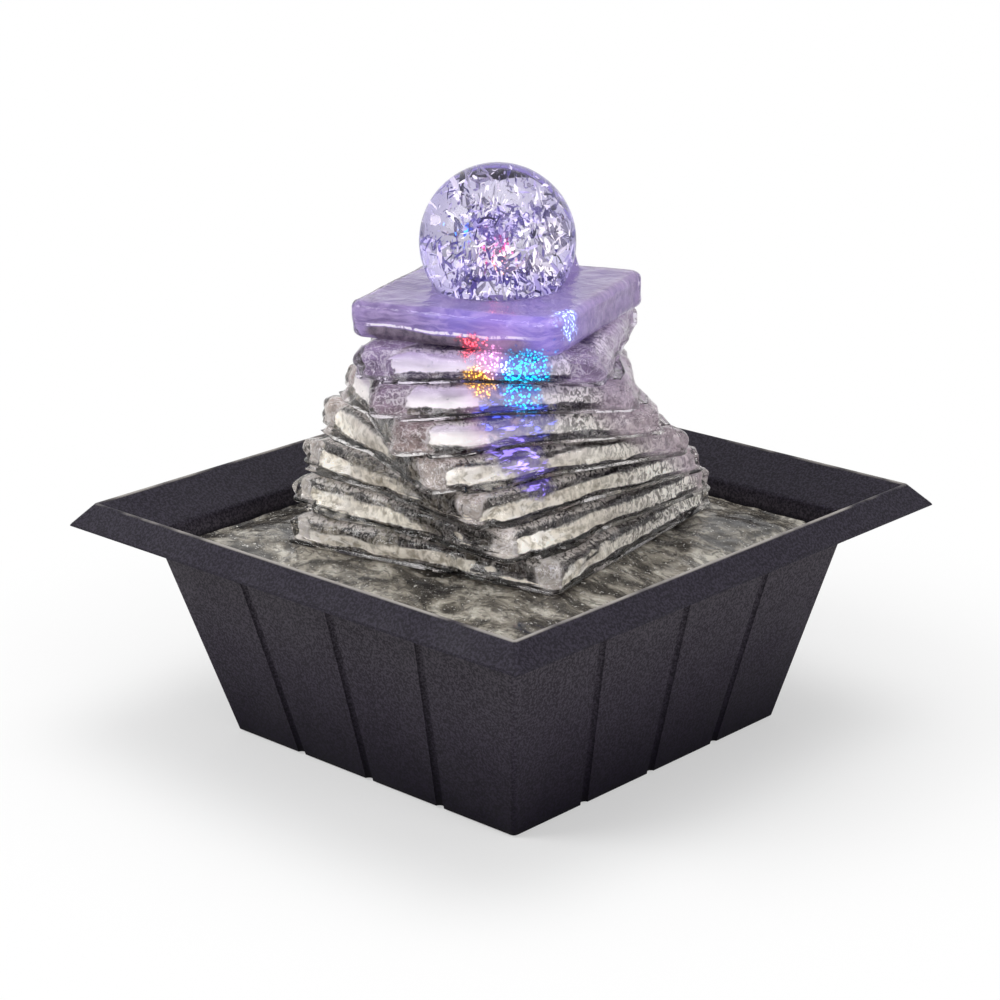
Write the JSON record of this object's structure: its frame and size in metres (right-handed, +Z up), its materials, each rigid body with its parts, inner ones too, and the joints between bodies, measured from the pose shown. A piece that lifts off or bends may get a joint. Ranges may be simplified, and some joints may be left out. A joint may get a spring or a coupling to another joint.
{
  "type": "tabletop water fountain",
  "caption": "Square tapered basin with a folded rim, a twisting stack of clear resin slabs, a crackled ball turning on a water film, and a pump and light ring inside.",
  "frame": {"origin": "centre of the basin, on the surface that its rubber feet stand on", "axes": "+Z up; X and Y along the basin's sides; the pump's intake faces -Y, the cable grommet +Y"},
  "size_m": [0.2, 0.2, 0.1907],
  "materials": {
    "basin_plastic": "satin moulded charcoal plastic",
    "foot_rubber": "matt",
    "grommet_rubber": "matt",
    "clear_resin": "clear cast resin, rippled like melting ice",
    "lilac_resin": "clear cast resin lit lilac from inside",
    "crackle_glass": "clear, full of fine cracks",
    "pump_plastic": "moulded",
    "potting_resin": "poured resin",
    "core_steel": "stacked sheets",
    "coil_copper": "enamelled wire",
    "shaft_ceramic": "polished",
    "bush_rubber": "soft",
    "magnet_ferrite": "sintered",
    "impeller_plastic": "moulded",
    "dial_plastic": "moulded",
    "cup_rubber": "soft",
    "tube_vinyl": "clear soft tube",
    "nozzle_plastic": "moulded",
    "tray_plastic": "moulded",
    "board_laminate": "circuit laminate",
    "lens_plastic": "clear",
    "lead_sheath": "matt",
    "clip_plastic": "moulded",
    "red_led": "lit dome",
    "blue_led": "lit dome",
    "amber_led": "lit dome"
  },
  "bodies": {
    "basin": {"basin": "basin_plastic", "rubber_feet": "foot_rubber", "cable_grommet": "grommet_rubber", "pump_housing": "pump_plastic", "pump_back_plate": "potting_resin", "stator_core": "core_steel", "pump_coil": "coil_copper", "pump_shaft": "shaft_ceramic", "rear_shaft_bush": "bush_rubber", "suction_cups": "cup_rubber", "riser_tube": "tube_vinyl", "jet_nozzle": "nozzle_plastic", "nozzle_washer": "bush_rubber", "light_tray": "tray_plastic", "light_board": "board_laminate", "light_lens": "lens_plastic", "led_lead": "lead_sheath", "lead_clips": "clip_plastic", "red_leds": "red_led", "blue_leds": "blue_led", "amber_leds": "amber_led"},
    "ice_stack": {"ice_plate": "clear_resin", "ice_slab_1": "clear_resin", "ice_slab_2": "clear_resin", "ice_slab_3": "clear_resin", "ice_slab_4": "clear_resin", "ice_slab_5": "lilac_resin", "ice_slab_6": "lilac_resin", "ice_slab_7": "lilac_resin", "ice_cap": "lilac_resin"},
    "ball": {"crackle_ball": "crackle_glass"},
    "impeller": {"impeller": "impeller_plastic", "rotor_magnet": "magnet_ferrite"},
    "pump_cover": {"intake_cover": "pump_plastic", "front_shaft_bush": "bush_rubber"},
    "flow_dial": {"flow_dial": "dial_plastic"}
  },
  "joints": [
    {"name": "stack_lift", "type": "slide", "parent": "basin", "child": "ice_stack", "axis": [0, 0, 1], "range_m": [0, 0.09]},
    {"name": "ball_turn", "type": "hinge", "parent": "ice_stack", "child": "ball", "pos_m": [0, 0, 0.16565], "axis": [0, 0, 1], "continuous": true},
    {"name": "impeller_spin", "type": "hinge", "parent": "basin", "child": "impeller", "pos_m": [0, 0, 0.03035], "axis": [0, 1, 0], "continuous": true},
    {"name": "cover_pull", "type": "slide", "parent": "basin", "child": "pump_cover", "axis": [0, -1, 0], "range_m": [0, 0.03]},
    {"name": "dial_turn", "type": "hinge", "parent": "pump_cover", "child": "flow_dial", "pos_m": [0, -0.01, 0.03035], "axis": [0, -1, 0], "range_deg": [0, 60]}
  ]
}
